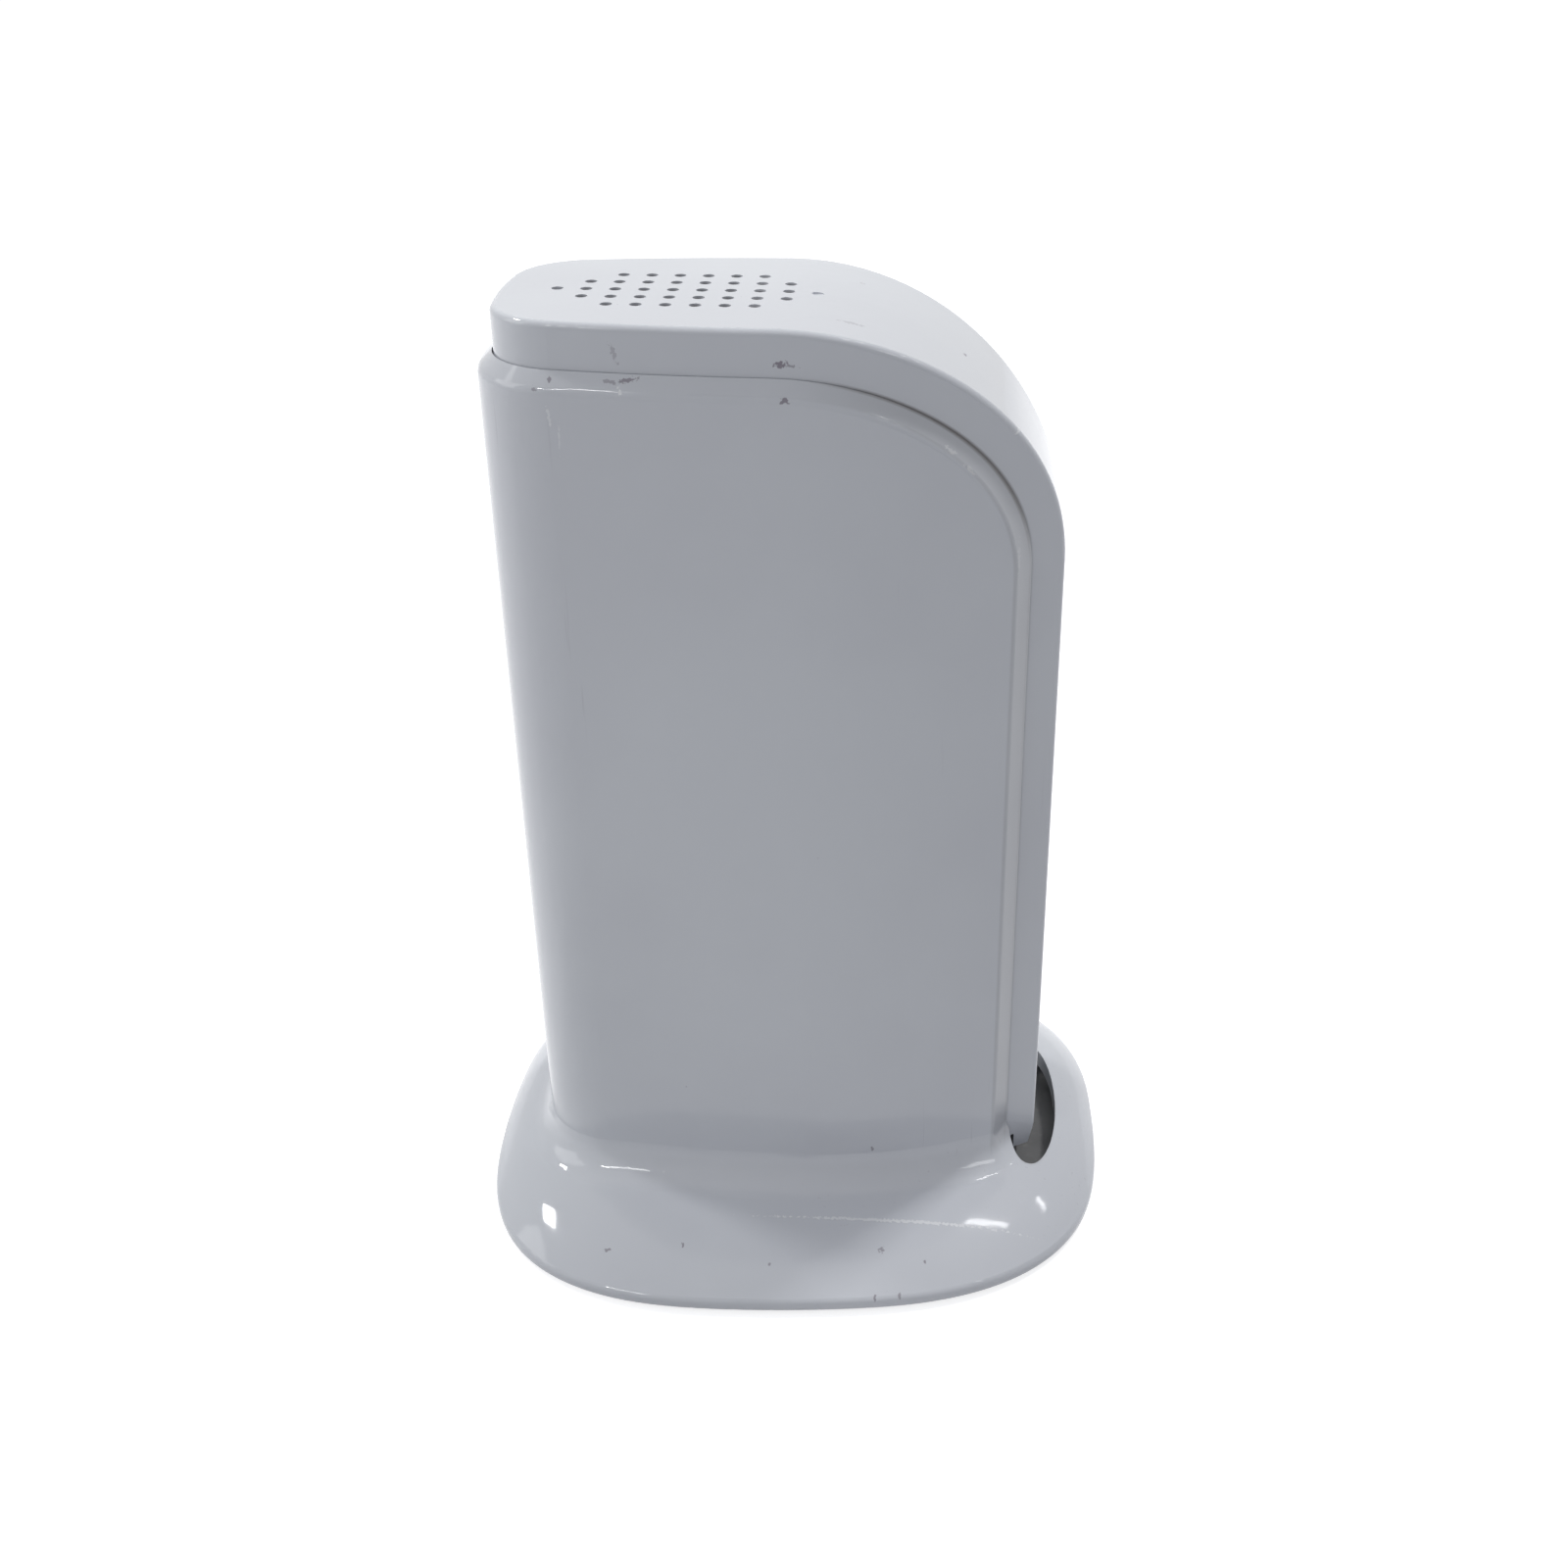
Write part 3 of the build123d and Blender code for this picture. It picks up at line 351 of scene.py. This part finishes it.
def seamDustAndShade(tree, coords, onShell):
    # Dust with painted shade, strongest in the groove between shell and cover, and over the shoulder; reach
    # is 1 on the seam
    x, _, z = split(tree, coords)
    along = calc(tree, "MAXIMUM", calc(tree, "SUBTRACT", x, seam["shoulderX"]), 0.0)
    up = calc(tree, "MAXIMUM", calc(tree, "SUBTRACT", z, seam["shoulderZ"]), 0.0)
    alongShare = calc(tree, "DIVIDE", along, seam["backX"] - seam["shoulderX"])
    upShare = calc(tree, "DIVIDE", up, seam["topZ"] - seam["shoulderZ"])
    squares = calc(tree, "ADD", calc(tree, "POWER", alongShare, 2.0), calc(tree, "POWER", upShare, 2.0))
    reach = calc(tree, "SQRT", squares)
    offSeam = calc(tree, "ABSOLUTE", calc(tree, "SUBTRACT", reach, 1.0))
    line = ease(tree, offSeam, 0.0, seam["dustAndShadeWidth"], 1.0, 0.0)
    downBack = ease(tree, alongShare, *seam["backRun"])
    overShoulder = ease(tree, calc(tree, "MULTIPLY", alongShare, upShare), *seam["shoulderRun"])
    dust = calc(tree, "MULTIPLY", line, calc(tree, "ADD", downBack, overShoulder))
    # On the shell the bevel strip beside the seam is also painted darker, as painted shade
    if onShell:
        strip = ease(tree, reach, *seam["bevelEdge"])
        strip = calc(tree, "MULTIPLY", strip, ease(tree, alongShare, *seam["bevelRun"]))
        dust = calc(tree, "MAXIMUM", dust, strip)
    return calc(tree, "MULTIPLY", dust, ease(tree, z, seam["footZ"], seam["footZ"] + seam["footFade"]))


def ovalShade(tree, coords, recessShade):
    local = vectorCalc(tree, "SUBTRACT", coords, recessShade["place"])
    reach = vectorCalc(tree, "LENGTH", vectorCalc(tree, "DIVIDE", local, recessShade["half"]))
    low = ease(tree, split(tree, coords)[2], recessShade["topZ"], recessShade["topZ"] - recessShade["fade"])
    inside = calc(tree, "MULTIPLY", ease(tree, reach, *ovalRim), low)
    return calc(tree, "MULTIPLY", inside, recessShade["strength"])


def glossyMoulding(name, look, group, isShell):
    material, tree, shader, coords = startFinish(name)
    slow = ease(tree, noise(tree, coords, look["shadeScale"], 3.0), *look["shadeBand"])
    colour = tint(tree, slow, look["colour"], look["shade"])
    hair = ease(tree, noise(tree, stretch(tree, coords, look["hairGrain"]), 1.0), *look["hairBand"])
    patch = ease(tree, noise(tree, coords, look["patchScale"]), *look["patchBand"])
    hair = calc(tree, "MULTIPLY", hair, patch)
    colour = tint(tree, calc(tree, "MULTIPLY", hair, look["hairStrength"]), colour, look["darkMark"])
    cells = addNode(tree, "ShaderNodeTexVoronoi", {"Vector": coords, "Scale": look["speckCells"]}).outputs
    chosen = calc(tree, "GREATER_THAN", split(tree, cells["Color"])[0], look["speckFrom"])
    speck = calc(tree, "MULTIPLY", ease(tree, cells["Distance"], look["speckRadius"], 0.0), chosen)
    colour = tint(tree, calc(tree, "MULTIPLY", speck, look["speckStrength"]), colour, look["darkMark"])
    dark = gatherMarks(tree, coords, group, darkMarks)
    colour = tint(tree, dark, colour, look["darkMark"])
    pale = gatherMarks(tree, coords, group, paleMarks)
    colour = tint(tree, pale, colour, look["paleMark"])
    # Painted shade in the rear well and vent holes, and dust with painted shade along the seam, all tinted in
    # the dust colour
    recessShade = ovalShade(tree, coords, wellShade if isShell else ventShade)
    dust = calc(tree, "MAXIMUM", seamDustAndShade(tree, coords, isShell), recessShade)
    colour = tint(tree, dust, colour, look["dust"])
    marksDustAndShade = calc(tree, "MAXIMUM", calc(tree, "MAXIMUM", dark, pale), dust)
    dull = calc(tree, "ADD", clouds(tree, coords, look["glossScale"], 0.0, look["glossDrift"]), look["gloss"])
    dull = calc(tree, "ADD", dull, calc(tree, "MULTIPLY", hair, look["hairDull"]))
    dull = calc(tree, "ADD", dull, calc(tree, "MULTIPLY", marksDustAndShade, look["wornDull"]))
    peel = noise(tree, coords, look["peelScale"], 1.0)
    height = calc(tree, "SUBTRACT", peel, calc(tree, "MULTIPLY", marksDustAndShade, look["wornDepth"]))
    normal = bumps(tree, height, look["peelDepth"])
    feed(tree, shader, {"Base Color": colour, "Roughness": dull, "IOR": look["ior"], "Normal": normal})
    return material


markShape = markGroup(markEdge)
coat(("main_shell",), glossyMoulding("shellWhite", glossWhite, markShape, True))
coat(("rear_cover",), glossyMoulding("coverWhite", glossWhite, markShape, False))
print("white mouldings finished")

# Plain mouldings and rubber: colour drift, fine grain and a little pale dust
mouldings = {
    "plateGrey": {
        "nodes": ("base_plate",),
        "colour": (0.185, 0.185, 0.186, 1), "shade": (0.23, 0.23, 0.232, 1), "dust": 0.10,
        "grain": 1700.0, "depth": 0.000030, "rough": (0.48, 0.62),
    },
    "footRubber": {
        "nodes": ("rubber_feet",),
        "colour": (0.028, 0.028, 0.030, 1), "shade": (0.05, 0.049, 0.048, 1), "dust": 0.25,
        "grain": 1300.0, "depth": 0.000045, "rough": (0.72, 0.92),
    },
    "buttonGrey": {
        "nodes": ("power_button", "pairing_button"),
        "colour": (0.33, 0.335, 0.35, 1), "shade": (0.28, 0.285, 0.30, 1), "dust": 0.06,
        "grain": 1500.0, "depth": 0.000014, "rough": (0.30, 0.42),
    },
    "jackAmber": {
        "nodes": ("lan_jack_1", "lan_jack_2", "lan_jack_3"),
        "colour": (0.62, 0.40, 0.035, 1), "shade": (0.52, 0.32, 0.03, 1), "dust": 0.08,
        "grain": 1800.0, "depth": 0.000016, "rough": (0.38, 0.52),
    },
    "jackBlue": {
        "nodes": ("wan_jack",),
        "colour": (0.030, 0.12, 0.42, 1), "shade": (0.024, 0.09, 0.33, 1), "dust": 0.08,
        "grain": 1800.0, "depth": 0.000016, "rough": (0.38, 0.52),
    },
    "socketBlack": {
        "nodes": ("dc_jack", "power_switch", "pairing_switch", "reset_switch"),
        "colour": (0.018, 0.018, 0.020, 1), "shade": (0.032, 0.032, 0.034, 1), "dust": 0.10,
        "grain": 1800.0, "depth": 0.000018, "rough": (0.40, 0.55),
    },
    "pinWhite": {
        "nodes": ("power_plunger", "pairing_plunger", "reset_plunger", "heat_sink_pins"),
        "colour": (0.66, 0.655, 0.62, 1), "shade": (0.58, 0.575, 0.54, 1), "dust": 0.03,
        "grain": 1500.0, "depth": 0.000012, "rough": (0.40, 0.55),
    },
    "chipEpoxy": {
        "nodes": ("processor", "memory_chip", "flash_chip", "line_transformers"),
        "colour": (0.020, 0.020, 0.022, 1), "shade": (0.036, 0.035, 0.036, 1), "dust": 0.06,
        "grain": 2600.0, "depth": 0.000020, "rough": (0.50, 0.66),
    },
    "padGrey": {
        "nodes": ("thermal_pad",),
        "colour": (0.22, 0.27, 0.33, 1), "shade": (0.18, 0.22, 0.27, 1), "dust": 0.0,
        "grain": 900.0, "depth": 0.000040, "rough": (0.70, 0.85),
    },
    "ferriteGrey": {
        "nodes": ("power_inductors",),
        "colour": (0.055, 0.055, 0.058, 1), "shade": (0.10, 0.10, 0.105, 1), "dust": 0.05,
        "grain": 2200.0, "depth": 0.000035, "rough": (0.60, 0.80),
    },
    "leadBlack": {
        "nodes": ("antenna_leads",),
        "colour": (0.020, 0.020, 0.022, 1), "shade": (0.034, 0.034, 0.036, 1), "dust": 0.05,
        "grain": 2400.0, "depth": 0.000010, "rough": (0.42, 0.58),
    },
}
mouldedWear = {
    "driftScale": 45.0,
    "dustColour": (0.55, 0.54, 0.52, 1),
    "dustScale": 420.0,
    "dustBand": (0.55, 0.75),
    "roughScale": 130.0,
}


def mouldedFinish(name, look, wear):
    material, tree, shader, coords = startFinish(name)
    colour = tint(tree, clouds(tree, coords, wear["driftScale"]), look["colour"], look["shade"])
    settled = ease(tree, noise(tree, coords, wear["dustScale"], 4.0), *wear["dustBand"], 0.0, look["dust"])
    colour = tint(tree, settled, colour, wear["dustColour"])
    rough = clouds(tree, coords, wear["roughScale"], *look["rough"])
    normal = bumps(tree, noise(tree, coords, look["grain"]), look["depth"])
    feed(tree, shader, {"Base Color": colour, "Roughness": rough, "Normal": normal})
    return material


for finishName, look in mouldings.items():
    coat(look["nodes"], mouldedFinish(finishName, look, mouldedWear))
print("plain mouldings finished")

# Metals: the grain is finest along the axes with the largest numbers
metals = {
    "screwZinc": {
        "nodes": ("base_screws", "cover_screws", "board_screws", "antenna_screws"),
        "colour": (0.52, 0.52, 0.50, 1), "shade": (0.36, 0.355, 0.33, 1),
        "grain": (900, 900, 900), "rough": (0.26, 0.44), "depth": 0.000006,
    },
    "sinkAluminium": {
        "nodes": ("heat_sink",),
        "colour": (0.62, 0.63, 0.65, 1), "shade": (0.52, 0.53, 0.55, 1),
        "grain": (1500, 1500, 30), "rough": (0.30, 0.48), "depth": 0.000008,
    },
    "tinPlate": {
        "nodes": ("clock_crystal", "radio_shield", "dc_pin"),
        "colour": (0.60, 0.595, 0.58, 1), "shade": (0.47, 0.465, 0.45, 1),
        "grain": (60, 700, 700), "rough": (0.22, 0.38), "depth": 0.000005,
    },
    "contactGold": {
        "nodes": ("jack_contacts", "antenna_sockets"),
        "colour": (0.80, 0.58, 0.20, 1), "shade": (0.66, 0.46, 0.15, 1),
        "grain": (120, 1200, 1200), "rough": (0.18, 0.32), "depth": 0.000004,
    },
}
metalDriftScale = 160.0


def metalFinish(name, look):
    material, tree, shader, coords = startFinish(name)
    colour = tint(tree, clouds(tree, coords, metalDriftScale, detail=4.0), look["colour"], look["shade"])
    grain = noise(tree, stretch(tree, coords, look["grain"]), 1.0, 3.0)
    rough = ease(tree, grain, *noiseMiddle, *look["rough"])
    normal = bumps(tree, grain, look["depth"])
    feed(tree, shader, {"Base Color": colour, "Metallic": 1.0, "Roughness": rough, "Normal": normal})
    return material


for finishName, look in metals.items():
    coat(look["nodes"], metalFinish(finishName, look))
print("metals finished")

# Circuit boards: solder mask over copper tracks, with small plated holes
boardGreen = {
    "nodes": ("main_board", "antenna_board"),
    "mask": (0.018, 0.105, 0.050, 1),
    "track": (0.036, 0.19, 0.085, 1),
    "trackScale": 260.0,
    "trackWidth": 0.07,
    "trackSoft": 0.2,
    "routeScale": 70.0,
    "routeBand": (0.44, 0.5),
    "hole": (0.62, 0.58, 0.42, 1),
    "holeScale": 210.0,
    "holeScatter": 0.6,
    "holeFrom": 0.6,  # a cell holds a hole when its random value is above this
    "holeEdge": (0.13, 0.10),
    "rough": (0.26, 0.40),
    "roughScale": 90.0,
    "depth": 0.000035,
    "layFlat": (math.radians(-90), 0, 0),  # the boards stand upright
}


def boardFinish(name, look):
    material, tree, shader, coords = startFinish(name)
    flat = stretch(tree, coords, (1, 1, 1), look["layFlat"])
    inputs = {
        "Vector": flat, "Scale": look["trackScale"],
        "Mortar Size": look["trackWidth"], "Mortar Smooth": look["trackSoft"],
    }
    tracks = addNode(tree, "ShaderNodeTexBrick", inputs).outputs["Fac"]
    routed = ease(tree, noise(tree, coords, look["routeScale"]), *look["routeBand"])
    tracks = calc(tree, "MULTIPLY", tracks, routed)
    colour = tint(tree, tracks, look["mask"], look["track"])
    inputs = {"Vector": flat, "Scale": look["holeScale"], "Randomness": look["holeScatter"]}
    cells = addNode(tree, "ShaderNodeTexVoronoi", inputs).outputs
    chosen = calc(tree, "GREATER_THAN", split(tree, cells["Color"])[0], look["holeFrom"])
    holes = calc(tree, "MULTIPLY", ease(tree, cells["Distance"], *look["holeEdge"]), chosen)
    colour = tint(tree, holes, colour, look["hole"])
    rough = clouds(tree, coords, look["roughScale"], *look["rough"])
    normal = bumps(tree, calc(tree, "ADD", tracks, holes), look["depth"])
    feed(tree, shader, {"Base Color": colour, "Roughness": rough, "Normal": normal})
    return material


coat(boardGreen["nodes"], boardFinish("boardGreen", boardGreen))
print("boards finished")

# Capacitor cans: dark sleeve with a pale stripe, and a bare metal end towards the near side
canSleeve = {
    "sleeve": (0.016, 0.022, 0.05, 1),
    "stripe": (0.42, 0.44, 0.48, 1),
    "metal": (0.55, 0.55, 0.56, 1),
    "fade": 0.25,
    "fadeScale": 90.0,
    "stripeEdge": (0.0022, 0.0018),  # metres from the low side of the cans
    "endEdge": (0.0006, 0.00042),
    "rough": (0.28, 0.42),
    "roughScale": 300.0,
    "grain": 800.0,
    "depth": 0.000012,
}


def sleeveFinish(name, node, look):
    material, tree, shader, coords = startFinish(name)
    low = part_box(node)[0]
    x, y, _ = split(tree, coords)
    faded = clouds(tree, coords, look["fadeScale"], 0.0, look["fade"])
    colour = tint(tree, faded, look["sleeve"], look["stripe"])
    stripe = ease(tree, x, *(low[0] + edge for edge in look["stripeEdge"]))
    colour = tint(tree, stripe, colour, look["stripe"])
    end = ease(tree, y, *(low[1] + edge for edge in look["endEdge"]))
    colour = tint(tree, end, colour, look["metal"])
    rough = clouds(tree, coords, look["roughScale"], *look["rough"])
    normal = bumps(tree, noise(tree, coords, look["grain"]), look["depth"])
    feed(tree, shader, {"Base Color": colour, "Metallic": end, "Roughness": rough, "Normal": normal})
    return material


coat(("filter_capacitors",), sleeveFinish("canSleeve", "filter_capacitors", canSleeve))

# Status lights: frosted clear bar, and lamps with yellow patches
lightBar = {
    "colour": (0.80, 0.85, 0.88, 1), "shade": (0.70, 0.76, 0.80, 1), "driftScale": 120.0,
    "rough": (0.26, 0.42), "roughScale": 700.0, "grain": 1500.0, "depth": 0.000020,
    "clear": 0.55, "ior": 1.49,
}
ledLens = {
    "case": (0.78, 0.77, 0.72, 1), "patch": (0.72, 0.60, 0.16, 1), "patchScale": 520.0,
    "patchBand": (0.42, 0.58), "rough": (0.22, 0.38), "roughScale": 900.0,
}


def clearFinish(name, look):
    material, tree, shader, coords = startFinish(name)
    colour = tint(tree, clouds(tree, coords, look["driftScale"]), look["colour"], look["shade"])
    rough = clouds(tree, coords, look["roughScale"], *look["rough"])
    normal = bumps(tree, noise(tree, coords, look["grain"]), look["depth"])
    feed(tree, shader, {"Base Color": colour, "Roughness": rough, "Normal": normal})
    feed(tree, shader, {"Transmission Weight": look["clear"], "IOR": look["ior"]})
    return material


def ledFinish(name, look):
    material, tree, shader, coords = startFinish(name)
    patch = ease(tree, noise(tree, coords, look["patchScale"]), *look["patchBand"])
    colour = tint(tree, patch, look["case"], look["patch"])
    rough = clouds(tree, coords, look["roughScale"], *look["rough"])
    feed(tree, shader, {"Base Color": colour, "Roughness": rough})
    return material


coat(("light_pipe",), clearFinish("lightBar", lightBar))
coat(("status_leds",), ledFinish("ledLens", ledLens))
print("lights and capacitors finished")
